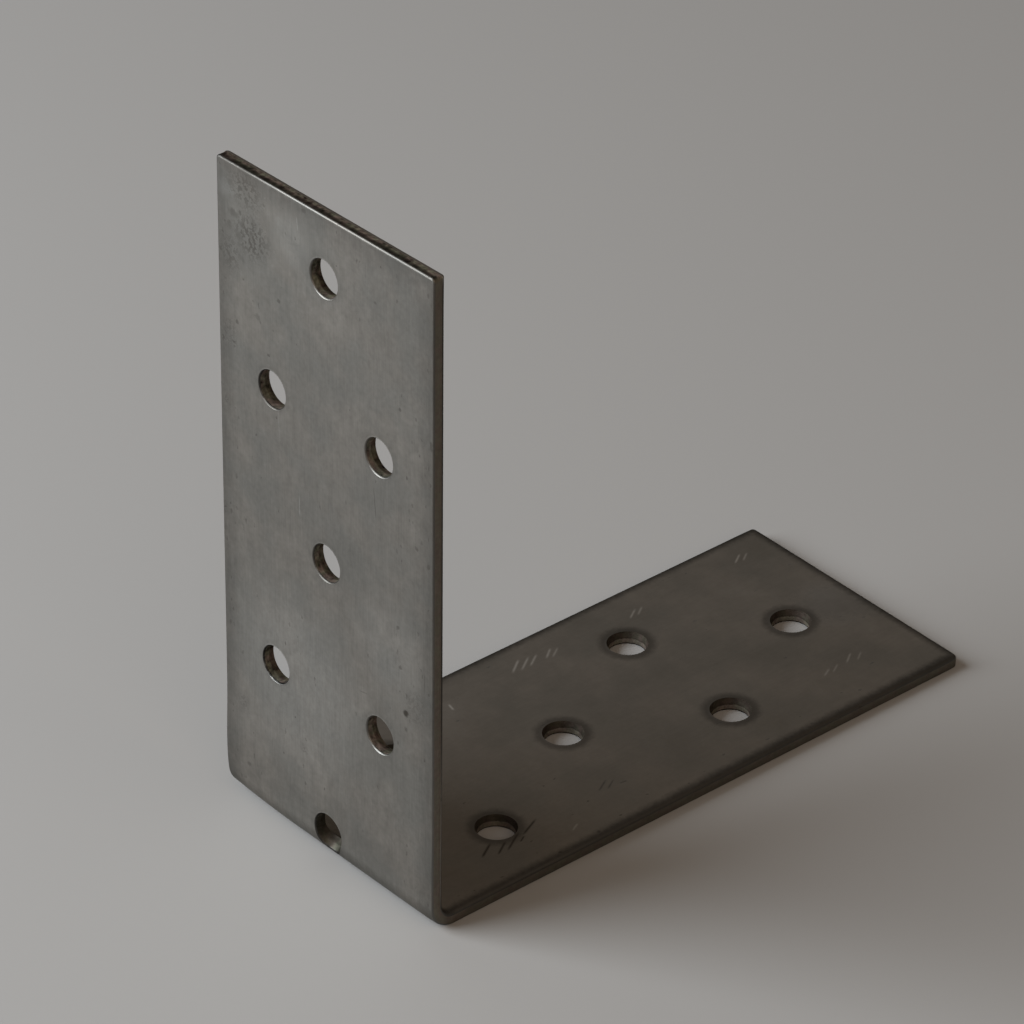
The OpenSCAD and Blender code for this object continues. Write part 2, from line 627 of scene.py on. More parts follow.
    def build(self) -> bpy.types.Object:
        """Makes the whole bracket.

        Returns:
            The bracket's object, not yet dressed.
        """
        strip = self.strip
        mesh = SheetMesh(strip)
        inset = strip.corner_radius
        half = strip.half_width - inset
        lines = np.linspace(-half, half, 4 * round(half / 2 / self.spacing) + 1)
        quarter = (len(lines) - 1) // 4
        places = [row for row, _ in strip.rows]
        cuts = [inset] + [(a + b) / 2 for a, b in zip(places, places[1:])] + [strip.length - inset]
        all_s = [np.array([inset])]
        ring_zone = self.zones(self.rings + MOUTH_BANDS, 2 * STRAIGHT_BANDS, self.rings)
        for (row, across), start, end in zip(strip.rows, cuts, cuts[1:]):
            bends = end > strip.fold_start and start < strip.fold_end
            step = self.spacing / 2 if bends else self.spacing
            span = np.linspace(start, end, round((end - start) / step) + 1)
            all_s.append(span[1:])
            squares = [lines[quarter:-quarter]] if len(across) == 1 else [
                lines[: 2 * quarter + 1], lines[2 * quarter:]
            ]
            for offset, square in zip(across, squares):
                grid = self.hole_grid(span, square, (row, offset))
                mesh.add(grid, ring_zone, True, (0, 0, -1))
            if len(across) == 1:
                for square in (lines[: quarter + 1], lines[-quarter - 1:]):
                    for depth, facing, zone in (
                        (0.0, -1, Zone.OUTSIDE), (strip.thickness, 1, Zone.INSIDE),
                    ):
                        s, y = np.meshgrid(span, square, indexing="ij")
                        grid = np.stack((s, y, np.full_like(s, depth)), axis=-1)
                        zones = np.full(len(span) - 1, zone.value)
                        mesh.add(grid, zones, False, (0, 0, facing))
        edge_zone = self.zones(
            MARGIN_BANDS + MOUTH_BANDS, STRAIGHT_BANDS, FINISHED_BANDS + MARGIN_BANDS
        )
        mesh.add(self.edge_grid(np.concatenate(all_s), lines), edge_zone, True, (0, 0, -1))
        return mesh.build("folded_sheet")


class Graph:
    """Short ways to write a shader node tree."""

    def __init__(self, tree: Tree) -> None:
        """Wraps a tree, to add nodes to it."""
        self.tree = tree

    def node(self, kind: str, **settings: object) -> bpy.types.Node:
        """Adds a node and sets its properties.

        Args:
            kind: node type without the ShaderNode prefix.
            settings: property names and values.

        Returns:
            The new node.
        """
        made = self.tree.nodes.new("ShaderNode" + kind)
        for name, value in settings.items():
            setattr(made, name, value)
        return made

    def feed(self, target: Socket, source: object) -> None:
        """Links a socket or sets its value.

        Args:
            target: the input.
            source: the output to link to it, or a plain number or tuple.
        """
        if isinstance(source, Socket):
            self.tree.links.new(source, target)
        else:
            target.default_value = source

    def wire(self, kind: str, *terms: object, out: int = 0, **settings: object) -> Socket:
        """Adds a node and feeds its inputs.

        Args:
            kind: node type without the ShaderNode prefix.
            terms: its inputs in order, sockets or values, and None for one left as it is.
            out: number of the output that is wanted.
            settings: property names and values.

        Returns:
            That output.
        """
        made = self.node(kind, **settings)
        for target, term in zip(made.inputs, terms):
            if term is not None:
                self.feed(target, term)
        return made.outputs[out]

    def group(self, tree: Tree, **given: object) -> Socket:
        """Places a node group.

        Args:
            tree: the group.
            given: input names and their sockets or values.

        Returns:
            The group's output.
        """
        made = self.node("Group", node_tree=tree)
        for name, value in given.items():
            self.feed(made.inputs[name], value)
        return made.outputs[0]

    def math(self, operation: str, *terms: object, clamp: bool = False) -> Socket:
        """Adds a Math node, which clamp keeps between 0 and 1."""
        return self.wire("Math", *terms, operation=operation, use_clamp=clamp)

    def times(self, *terms: object) -> Socket:
        """Multiplies numbers."""
        return reduce(lambda whole, term: self.math("MULTIPLY", whole, term), terms)

    def fit(self, value: object, gain: object, base: object) -> Socket:
        """Multiplies a number by a gain and adds a base."""
        return self.math("MULTIPLY_ADD", value, gain, base)

    def centred(self, pattern: object) -> Socket:
        """Moves a pattern from about a half to about 0."""
        return self.math("SUBTRACT", pattern, 0.5)

    def strongest(self, values: list) -> object:
        """Keeps the strongest of the values at every point, and 0 where there is none."""
        return reduce(lambda whole, value: self.math("MAXIMUM", value, whole), values, 0.0)

    def vector(self, operation: str, *terms: object) -> Socket:
        """Adds a Vector Math node and gives its vector, or the number that it works out."""
        number = operation in ("LENGTH", "DOT_PRODUCT")
        return self.wire("VectorMath", *terms, out=int(number), operation=operation)

    def scaled(self, vector: object, factor: object) -> Socket:
        """Multiplies a vector by a number."""
        return self.vector("SCALE", vector, None, None, factor)

    def parts(self, whole: object, kind: str = "SeparateXYZ") -> list[Socket]:
        """Splits a vector, or a colour with SeparateColor, into its three numbers."""
        made = self.node(kind)
        self.feed(made.inputs[0], whole)
        return list(made.outputs)

    def smooth(self, value: object, start: float, end: float) -> Socket:
        """Rises smoothly from 0 at start to 1 at end, or falls where end is the smaller."""
        ends = (min(start, end), max(start, end), float(start > end), float(start < end))
        return self.wire("MapRange", value, *ends, interpolation_type="SMOOTHSTEP")

    def noise(self, place: object, detail: object, roughness: float) -> Socket:
        """Adds noise, about 0 to 1, with finer layers (detail) of a strength (roughness)."""
        return self.wire("TexNoise", place, None, 1.0, detail, roughness, noise_dimensions="3D")

    def blend(self, share: object, first: object, second: object, kind: str = "MIX") -> Socket:
        """Mixes two colours, the second by a share, the way that the kind of blend says."""
        terms = (share, *[None] * 5, first, second)
        return self.wire("Mix", *terms, out=2, data_type="RGBA", blend_type=kind)

    def toned(self, colour: object, tone: object) -> Socket:
        """Multiplies a colour by a number."""
        return self.blend(1.0, colour, self.wire("CombineColor", tone, tone, tone), "MULTIPLY")


class Effects:
    """Node groups that more than one finish uses. Each is made once."""

    def __init__(self) -> None:
        """Makes every group."""
        self.grain = self.make_grain()
        self.cloud = self.make_cloud()
        self.specks = self.make_specks()
        self.spot = self.make_spot()
        self.scratch = self.make_scratch()

    @staticmethod
    def start(name: str, **inputs: object) -> tuple[Graph, object, object]:
        """Opens a node group that reads the flat coordinates and puts out one number.

        Args:
            name: the group's name.
            inputs: names and default values of its other inputs, a tuple for a vector.

        Returns:
            The graph, the group's inputs and its output socket.
        """
        tree = bpy.data.node_groups.new(name, "ShaderNodeTree")
        for label, value in {"Flat": (0.0, 0.0, 0.0), **inputs}.items():
            kind = "NodeSocketVector" if isinstance(value, tuple) else "NodeSocketFloat"
            socket = tree.interface.new_socket(label, in_out="INPUT", socket_type=kind)
            socket.default_value = value
        tree.interface.new_socket("Amount", in_out="OUTPUT", socket_type="NodeSocketFloat")
        source = tree.nodes.new("NodeGroupInput")
        sink = tree.nodes.new("NodeGroupOutput")
        return Graph(tree), source.outputs, sink.inputs[0]

    def make_grain(self) -> Tree:
        """Rolling grain: noise drawn out along the strip, in a broad and a fine layer.

        Returns:
            The group.
        """
        graph, given, result = self.start("Rolling grain", Along=220.0, Across=4200.0)
        scale = graph.wire("CombineXYZ", given["Along"], given["Across"], 900.0)
        broad_scale = graph.vector("MULTIPLY", scale, (0.45, 0.22, 1.0))
        fine = graph.noise(graph.vector("MULTIPLY", given["Flat"], scale), 2.0, 0.6)
        broad = graph.noise(graph.vector("MULTIPLY", given["Flat"], broad_scale), 2.0, 0.55)
        graph.feed(result, graph.fit(fine, 0.62, graph.times(broad, 0.38)))
        return graph.tree

    def make_cloud(self) -> Tree:
        """Cloudy patches of tone, as handling and pickling leave on bare sheet.

        Returns:
            The group.
        """
        graph, given, result = self.start("Cloud", Scale=90.0, Shift=0.0, Detail=3.0)
        place = graph.vector("ADD", graph.scaled(given["Flat"], given["Scale"]), given["Shift"])
        graph.feed(result, graph.noise(place, given["Detail"], 0.55))
        return graph.tree

    def make_specks(self) -> Tree:
        """Scattered specks: the middles of a share of the cells of a Voronoi pattern.

        Returns:
            The group.
        """
        graph, given, result = self.start(
            "Specks", Scale=700.0, Share=0.2, Size=0.25, Draw=0.6, Ragged=0.0
        )
        drawn = graph.wire("CombineXYZ", given["Draw"], 1.0, 1.0)
        place = graph.scaled(graph.vector("MULTIPLY", given["Flat"], drawn), given["Scale"])
        cells = graph.node("TexVoronoi", voronoi_dimensions="3D", feature="F1")
        graph.feed(cells.inputs["Vector"], place)
        graph.feed(cells.inputs["Scale"], 1.0)
        draw, girth, _ = graph.parts(cells.outputs["Color"], "SeparateColor")
        chosen = graph.math("LESS_THAN", draw, given["Share"])
        size = graph.times(given["Size"], graph.math("ADD", girth, 0.35))
        away = graph.fit(given["Ragged"], 0.9, cells.outputs["Distance"])
        inside = graph.math("SUBTRACT", 1.0, graph.math("DIVIDE", away, size), clamp=True)
        graph.feed(result, graph.times(graph.math("SQRT", inside), chosen))
        return graph.tree

    def make_spot(self) -> Tree:
        """One spot with a soft, uneven edge, round a given place on the flat strip.

        Returns:
            The group.
        """
        graph, given, result = self.start(
            "Spot", Centre=(0.0, 0.0, 0.0), Stretch=(1.0, 1.0, 1.0), Radius=1.0 * MM, Ragged=0.0,
            Uneven=1.0, Strength=1.0,
        )
        away = graph.vector("SUBTRACT", given["Flat"], given["Centre"])
        wide = graph.vector("LENGTH", graph.vector("MULTIPLY", away, given["Stretch"]))
        share = graph.math("DIVIDE", wide, given["Radius"])
        share = graph.fit(given["Ragged"], given["Uneven"], share)
        graph.feed(result, graph.times(graph.smooth(share, 1.0, 0.3), given["Strength"]))
        return graph.tree

    def make_scratch(self) -> Tree:
        """One straight scratch: the distance to a line from start to end, faded at its tips.

        Returns:
            The group.
        """
        graph, given, result = self.start(
            "Scratch", Start=(0.0, 0.0, 0.0), End=(0.0, 0.01, 0.0), Width=0.1 * MM, Strength=1.0
        )
        way = graph.vector("SUBTRACT", given["End"], given["Start"])
        away = graph.vector("SUBTRACT", given["Flat"], given["Start"])
        run = graph.vector("DOT_PRODUCT", away, way)
        share = graph.math("DIVIDE", run, graph.vector("DOT_PRODUCT", way, way))
        held = graph.math("MINIMUM", graph.math("MAXIMUM", share, 0.0), 1.0)
        gap = graph.vector("LENGTH", graph.vector("SUBTRACT", away, graph.scaled(way, held)))
        line = graph.math("SUBTRACT", 1.0, graph.math("DIVIDE", gap, given["Width"]), clamp=True)
        tips = graph.smooth(graph.math("ABSOLUTE", graph.centred(held)), 0.5, 0.2)
        graph.feed(result, graph.times(line, tips, given["Strength"]))
        return graph.tree


@dataclass(frozen=True)
class Mark:
    """A stain, pit or scuff on one face of the flat strip, or a broad patch of painted light or shade.

    Args:
        s: millimetres along the strip from the upright's free end.
        y: millimetres across the strip.
        radius: millimetres to its soft edge.
        strength: how strongly it darkens, or lightens where it is negative.
        stretch: how much narrower it is across the strip than along it.
    """

    s: float
    y: float
    radius: float
    strength: float
    stretch: float = 1.0

    @property
    def blotchy(self) -> bool:
        """Whether it breaks up in blotches, as stains of a middle size do."""
        return self.strength > 0 and 1.0 <= self.radius <= 6.0

    @property
    def uneven(self) -> float:
        """How uneven its edge is, less on a broad soft mark."""
        return 1.2 if self.radius < 1.0 else 2.0 / max(1.0, self.radius - 3.0)


@dataclass(frozen=True)
class Line:
    """A scratch on one face of the flat strip.

    Args:
        s: millimetres along the strip to one end.
        y: millimetres across it to that end.
        to_s: millimetres along the strip to the other end.
        to_y: millimetres across it to the other end.
        width: millimetres to its soft edge on each side.
        strength: how strongly it darkens, or lightens where it is negative.
    """

    s: float
    y: float
    to_s: float
    to_y: float
    width: float
    strength: float


def rows_of(kind: type, *rows: tuple[float, ...]) -> tuple:
    """Makes a Mark or a Line from each row of values."""
    return tuple(kind(*row) for row in rows)


def new_material(name: str) -> tuple[bpy.types.Material, Graph, bpy.types.Node]:
    """Starts a material with a Principled shader.

    Args:
        name: the material's name.

    Returns:
        The material, its graph and its shader node.
    """
    material = bpy.data.materials.new(name)
    material.use_nodes = True
    return material, Graph(material.node_tree), material.node_tree.nodes["Principled BSDF"]


class Canvas:
    """A metal finish in the making, with the strip's coordinates to draw on."""

    def __init__(self, name: str, effects: Effects) -> None:
        """Starts the material.

        Args:
            name: the material's name.
            effects: the shared node groups.
        """
        self.material, self.graph, self.shader = new_material(name)
        self.effects = effects
        self.flat = self.read("flat")
        self.along, self.across, self.deep = self.graph.parts(self.flat)
        self.level = self.graph.vector("MULTIPLY", self.flat, (1.0, 1.0, 0.0))
        self.hole_gap, self.edge_gap, _ = self.graph.parts(self.read("gaps"))

    def read(self, name: str) -> Socket:
        """Reads one of the mesh's attributes."""
        return self.graph.node("Attribute", attribute_name=name).outputs["Vector"]

    def cloud(self, scale: float, shift: float, detail: float) -> Socket:
        """Draws clouds, about 0 to 1: how fine, where in the noise, and in how many layers."""
        given = {"Scale": scale, "Shift": shift, "Detail": detail}
        return self.graph.group(self.effects.cloud, Flat=self.flat, **given)

    def spot(self, mark: Mark, ragged: object) -> Socket:
        """Draws one mark.

        Args:
            mark: the mark.
            ragged: a noise about 0 that roughens its edge.

        Returns:
            How strongly it shows at each point.
        """
        return self.graph.group(
            self.effects.spot, Flat=self.level, Centre=(mark.s * MM, mark.y * MM, 0.0),
            Stretch=(1.0, mark.stretch, 1.0), Radius=mark.radius * MM, Ragged=ragged,
            Uneven=mark.uneven, Strength=abs(mark.strength),
        )

    def scratch(self, line: Line) -> Socket:
        """Draws one scratch.

        Args:
            line: the scratch.

        Returns:
            How strongly it shows at each point.
        """
        return self.graph.group(
            self.effects.scratch, Flat=self.level, Start=(line.s * MM, line.y * MM, 0.0),
            End=(line.to_s * MM, line.to_y * MM, 0.0), Width=line.width * MM,
            Strength=abs(line.strength),
        )

    def finish(
        self, colour: object, rough: object, height: object, strength: float, distance: float
    ) -> bpy.types.Material:
        """Connects the metal's shader.

        Args:
            colour: its base colour.
            rough: its roughness.
            height: height of its fine relief.
            strength: how strongly the relief shows.
            distance: depth of the relief.

        Returns:
            The finished material.
        """
        bump = self.graph.node("Bump")
        bump.inputs["Strength"].default_value = strength
        bump.inputs["Distance"].default_value = distance
        self.graph.feed(bump.inputs["Height"], height)
        self.shader.inputs["Metallic"].default_value = 1.0
        self.shader.inputs["Specular Tint"].default_value = GRAZING
        self.graph.feed(self.shader.inputs["Base Color"], colour)
        self.graph.feed(self.shader.inputs["Roughness"], rough)
        self.graph.feed(self.shader.inputs["Normal"], bump.outputs[0])
        return self.material


@dataclass(frozen=True)
class Wear:
    """What making and use have left on one face of the strip, and the painted shade on it.

    Args:
        depth: depth of the face, in metres.
        border: share by which the face darkens at the outline; on the inside face this is painted
            shade for the dark reflection in its rounded edge.
        border_reach: how far in from the outline it does, in metres.
        border_full: how far in it is at its darkest, in metres.
        ring: share by which it darkens at the rims of the holes.
        ring_reach: how far from a hole's rim it does, in metres.
        rim: share by which the rounded rim beside the face darkens, as painted shade that dims its
            highlight.
        specks: share of the fine cells near the sides that hold a dark speck.
        texture: strength of the grain and clouds.
        level: brightness of the open face.
        marks: stains, pits and scuffs, and broad patches of painted light and shade.
        lines: scratches.
        shaded_rims: places where the rounded rim gets more painted shade, which dims its highlight
            more.
        shade_eased: lengths along the strip, in millimetres, where the painted shade of border and rim
            starts and stops being eased: start, full, last full and end. It is eased at the free end
            too.
    """

    depth: float
    border: float
    border_reach: float
    border_full: float
    ring: float
    ring_reach: float
    rim: float
    specks: float
    texture: float
    level: float
    marks: tuple[Mark, ...]
    lines: tuple[Line, ...]
    shaded_rims: tuple[Mark, ...] = ()
    shade_eased: tuple[float, ...] = ()

    # Depths beside the face at which its rounded rim starts to darken and is darkest.
    RIM_STARTS, RIM_FULL = 0.003 * MM, 0.05 * MM
    # Lengths beside the free end between which the easing of the painted shade there fades.
    END_RUBBED, END_KEPT = 0.2 * MM, 1.6 * MM
    # Share by which a rim darkens where it gets most painted shade, and share of the painted shade
    # that easing takes.
    DULLEST, RUBBED_OFF = 0.9, 0.85
    # Span over which the noise moves borders and rings.
    WANDER = 0.6 * MM

    def marked(self, canvas: Canvas, ragged: object) -> tuple:
        """Gathers the marks and lines.

        Args:
            canvas: the finish to draw on.
            ragged: a noise about 0 that roughens each mark's edge.

        Returns:
            How far the face is darkened and how far it is lightened.
        """
        graph = canvas.graph
        blotches = graph.fit(graph.smooth(ragged, -0.05, 0.07), 1.25, 0.15)
        dark: list = []
        light: list = []
        for mark in self.marks:
            value = canvas.spot(mark, ragged)
            if mark.blotchy:
                value = graph.times(value, blotches)
            (dark if mark.strength > 0 else light).append(value)
        for line in self.lines:
            (dark if line.strength > 0 else light).append(canvas.scratch(line))
        return graph.strongest(dark), graph.strongest(light)

    def shade(self, canvas: Canvas, ragged: object) -> Socket:
        """Darkens the outline, the rings round the holes and the rounded rims. On the inside face the
        outline's darkening is painted shade for the dark reflection in its rounded edge, and on the
        rims the darkening is painted shade that dims their highlights.

        A rounded rim is told from the face by its depth.

        Args:
            canvas: the finish to draw on.
            ragged: a noise about 0 that makes the borders uneven.

        Returns:
            A factor, 1 on the open face.
        """
        graph = canvas.graph
        shift = graph.times(ragged, self.WANDER)
        edge_gap = graph.math("ADD", canvas.edge_gap, shift)
        hole_gap = graph.math("ADD", canvas.hole_gap, shift)
        # Darkening towards the outline: painted shade on the inside face.
        near = graph.smooth(edge_gap, self.border_reach, self.border_full)
        ring = graph.smooth(hole_gap, self.ring_reach, 0.3 * self.ring_reach)
        below = graph.math("ABSOLUTE", graph.math("SUBTRACT", canvas.deep, self.depth))
        # Painted shade on the rounded rim beside the face, which dims its highlight.
        over = graph.smooth(below, self.RIM_STARTS, self.RIM_FULL)
        over = graph.math("MULTIPLY", over, graph.fit(ragged, 1.6, 1.0), clamp=True)
        shaded_rims = graph.strongest([canvas.spot(mark, ragged) for mark in self.shaded_rims])
        over = graph.times(over, graph.fit(shaded_rims, self.DULLEST - self.rim, self.rim))
        # Eases the painted shade of border and rim by the fold and at the free end.
        if self.shade_eased:
            start, full, last, end = (length * MM for length in self.shade_eased)
            from_fold = graph.smooth(canvas.along, last, end)
            by_fold = graph.math("SUBTRACT", graph.smooth(canvas.along, start, full), from_fold)
            inward = graph.smooth(canvas.along, self.END_RUBBED, self.END_KEPT)
            kept = graph.times(inward, graph.fit(by_fold, -self.RUBBED_OFF, 1.0))
            near = graph.times(near, kept)
            over = graph.times(over, kept)
        rest = graph.math("SUBTRACT", 1.0, over)
        return graph.times(graph.fit(near, -self.border, 1.0), graph.fit(ring, -self.ring, 1.0), rest)


OUTSIDE = Wear(
    depth=0.0, border=0.24, border_reach=4.0 * MM, border_full=0.0, ring=0.06, ring_reach=1.3 * MM,
    rim=0.32, specks=0.22, texture=1.15, level=1.045,
    marks=rows_of(
        Mark,
        (3, 15.5, 0.5, 0.6), (3.5, 11, 0.4, 0.5), (0.9, 3.5, 0.5, 0.5), (6.5, 15.5, 0.45, 0.6),
        (8.5, 13.5, 0.5, 0.55), (15.5, 8.5, 0.4, 0.6), (7.5, -9.5, 0.35, 0.5), (24, 10.5, 0.4, 0.6),
        (22, 16.5, 0.45, 0.6), (20, -14, 0.4, 0.6), (22.4, -19.6, 0.9, 0.6, 2), (38, -17, 0.5, 0.6),
        (39.5, -19.2, 0.5, 0.6), (51, -13.5, 0.45, 0.6), (56.5, -14, 0.5, 0.6), (62.6, -15, 0.75, 1),
        (65, -15, 0.45, 0.6), (86.5, 15.5, 0.5, 0.5), (50, 19.5, 1.6, 0.5, 3), (77.5, 16.6, 1.8, 0.35),
        (78.5, 4.5, 1.1, 0.35), (9, 13.5, 5, 0.52, 0.9), (13, 17.5, 4.5, 0.42, 1.4),
        (61, -17, 5, 0.28, 1.4), (3, 14.5, 4.5, 0.46, 0.8), (24, 18, 4, 0.32, 1.6),
        (6, -16.5, 5, 0.22, 1.3), (3, 17.3, 0.9, 0.45), (7.1, 16.8, 0.8, 0.5, 0.6),
        (8.1, 16.1, 1, 0.45, 1.5), (8, 15.2, 0.7, 0.5), (10.7, 19, 1.2, 0.45, 2), (9, 17.7, 0.8, 0.5),
        (10.1, 14.4, 1.3, 0.5, 0.8), (10.9, 13.4, 1.1, 0.5, 0.6), (10.2, 11.6, 1, 0.45, 0.7),
        (9.8, 15.8, 0.9, 0.45), (12.6, 17.1, 1, 0.4, 1.5), (12.7, 15.5, 0.9, 0.4),
        (13, 19.4, 1, 0.5, 2), (25.3, 17.2, 1.2, 0.5, 1.6), (25.4, 19.2, 1.3, 0.5, 2.4),
        (17, 18.6, 1.1, 0.35, 2), (19.5, 12.6, 0.7, 0.4), (34, 18.8, 1.2, 0.35, 2), (6, 6, 5, -0.1),
        # The broad light mark at 69 mm, low on the upright, is painted light.
        (4.6, 8, 1.4, -0.14), (4.2, 18.4, 1.8, -0.16), (36, -5, 36, 0.15), (69, 6, 17, -0.2),
        (88, -9, 13, 0.16), (55, -12, 9, -0.12), (77, 14, 8, -0.07), (9, -15, 16, 0.24),
    ),
    lines=rows_of(
        Line,
        (32.5, -9, 38, -9.5, 0.14, 0.7), (63.6, -8, 64, -6, 0.14, 0.45),
        (54.5, -18.5, 58.5, -18.4, 0.16, 0.6), (41, 5, 44.5, 5, 0.14, -0.35),
        (6.2, 12, 10.4, 14.2, 0.3, 0.4), (2, 5, 4.6, 4.6, 0.16, -0.3), (29, 9, 36, 8.6, 0.1, -0.2),
        (69, 2, 75, 1.6, 0.1, -0.2),
    ),
    # Spots where the rounded rims get more painted shade, dimming their highlights.
    shaded_rims=rows_of(
        Mark,
        (0, 20, 14, 0.75), (28.6, 10, 9, 0.75), (48.6, 0, 9, 0.5), (68.6, 10, 9, 1), (88.6, 0, 8, 0.8),
        (108.6, -10, 7, 1), (108.6, 10, 7, 1), (128.6, 0, 7, 1), (148.6, -10, 7, 1), (148.6, 10, 7, 1),
        (168.6, 0, 7, 1),
    ),
)
INSIDE = Wear(
    depth=1.8 * MM, border=0.66, border_reach=1.8 * MM, border_full=0.2 * MM, ring=0.43,
    ring_reach=1.9 * MM, rim=0.10, specks=0.08, texture=0.48, level=1.17,
    marks=rows_of(
        Mark,
        # The broad dark mark at 103 mm, on the near side by the upright, is painted shade.
        (128, 2, 8, -0.03, 1.3), (150, -6, 9, -0.03, 1.2), (103, -12, 17, 0.18, 0.8),
        (176, -0.5, 7, 0.34), (96, 1, 6.5, 0.45),
    ),
    lines=rows_of(
        Line,
        (132.4, 14.4, 135.4, 16.5, 0.26, -0.85), (133.7, 14.1, 136.9, 16.2, 0.24, -0.73),
        (135.2, 14.1, 138, 15.9, 0.24, -0.73), (138, 14.1, 140.3, 15.8, 0.24, -0.69),
        (138.8, 13.8, 141.2, 15.3, 0.22, -0.51), (152.6, 14, 155, 15.5, 0.22, -0.73),
        (154, 14, 156, 15.3, 0.22, -0.57), (172.2, 14.8, 174.6, 16.3, 0.22, -0.85),
        (173.5, 14.6, 175.5, 15.9, 0.22, -0.63), (163, -12.3, 165, -11.3, 0.22, -0.45),
        (164.5, -12.4, 166.6, -11.2, 0.2, -0.41), (167.3, -12, 169.7, -10.4, 0.22, -0.57),
        (168.9, -12.4, 170.9, -11.1, 0.2, -0.41), (121.6, 14.6, 121.2, 12.9, 0.24, -0.85),
        (123.4, -12.6, 126.2, -11.1, 0.24, 0.76), (124.6, -13, 126.9, -11.7, 0.22, 0.68),
        (126.6, -12.9, 128, -13.1, 0.24, 0.59), (102.6, -14, 106.2, -11.9, 0.32, 1),
        (104.6, -14.8, 107.9, -12.8, 0.3, 0.95), (105.9, -15, 110.6, -12.3, 0.3, 0.95),
        (109.6, -13.6, 114, -11.7, 0.3, 1), (108.7, -14.4, 110.2, -13.6, 0.22, 1),
        (115.3, -16.8, 117.1, -15.9, 0.2, -0.45),
    ),
    # Where the painted shade of border and rim is eased, by the fold.
    shade_eased=(60.0, 76.0, 86.0, 93.0),
)


@dataclass(frozen=True)
class SheetFinish:
    """Bare stainless sheet: dull mill surface with grain, clouds, specks, pits and scuffs, with
    painted light and shade.

    Args:
        name: name of the material.
        wear: what is left on this face.
        cool: colour of the cooler patches.
        warm: colour of the warmer patches.
        stain_and_shade: colour of the dark marks, both stains and painted shade.
        scuff_and_light: colour of the light scuffs and of the painted light.
        roughness: middle roughness.
        mottle: contrast of the fine clouds and of the finest flecks.
        grain: contrast of the rolling grain.
    """

    name: str
    wear: Wear
    cool: tuple = (0.262, 0.256, 0.238, 1.0)
    warm: tuple = (0.277, 0.262, 0.239, 1.0)
    stain_and_shade: tuple = (0.075, 0.068, 0.058, 1.0)
    scuff_and_light: tuple = (0.60, 0.60, 0.58, 1.0)
    roughness: float = 0.46
    mottle: float = 0.32
    grain: float = 0.42

    def build(self, effects: Effects) -> bpy.types.Material:
        """Makes the material.

        Light scuffs and painted light lie under the painted shade of rims and borders, and dark marks
        over it.

        Args:
            effects: the shared node groups.

        Returns:
            The material.
        """
        canvas = Canvas(self.name, effects)
        graph = canvas.graph
        texture = self.wear.texture
        cloud = canvas.cloud(*PATCHES)
        ragged = graph.centred(canvas.cloud(*FLECKS))
        grain = graph.group(effects.grain, Flat=canvas.flat)
        stained = graph.fit(graph.smooth(cloud, 0.40, 0.62), 0.7, 0.65)
        mottle = graph.times(graph.centred(canvas.cloud(*MOTTLE)), stained)
        tone = graph.fit(mottle, self.mottle * texture, self.wear.level)
        tone = graph.fit(ragged, self.mottle * texture, tone)
        tone = graph.fit(graph.centred(grain), self.grain * texture, tone)
        dark, light = self.wear.marked(canvas, ragged)
        dark = graph.math("MAXIMUM", dark, self.scattered(canvas, cloud, ragged))
        colour = graph.blend(graph.smooth(cloud, 0.36, 0.64), self.cool, self.warm)
        colour = graph.blend(light, colour, self.scuff_and_light)
        colour = graph.toned(colour, graph.times(tone, self.wear.shade(canvas, ragged)))
        colour = graph.blend(dark, colour, self.stain_and_shade)
        rough = graph.fit(graph.centred(cloud), 0.16, self.roughness)
        rough = graph.math("MULTIPLY_ADD", dark, 0.25, rough, clamp=True)
        return canvas.finish(colour, rough, graph.fit(dark, -1.5, grain), 0.35, 0.02 * MM)

    def scattered(self, canvas: Canvas, cloud: object, ragged: object) -> Socket:
        """Scatters fine dark specks, thicker near the strip's sides and where it is stained.

        Args:
            canvas: the finish to draw on.
            cloud: the broad cloud pattern.
            ragged: a noise about 0 that makes their shapes uneven.

        Returns:
            How dark each point is.
        """
        graph = canvas.graph
        side = graph.smooth(graph.math("ABSOLUTE", canvas.across), 10.0 * MM, 20.0 * MM)
        share = graph.fit(side, self.wear.specks, 0.2 * self.wear.specks)
        share = graph.times(share, graph.smooth(cloud, 0.35, 0.65))
        fine = graph.group(
            canvas.effects.specks, Flat=canvas.flat, Scale=1800.0, Share=share, Size=0.34,
            Draw=0.5, Ragged=ragged,
        )
        return graph.times(fine, 0.6)


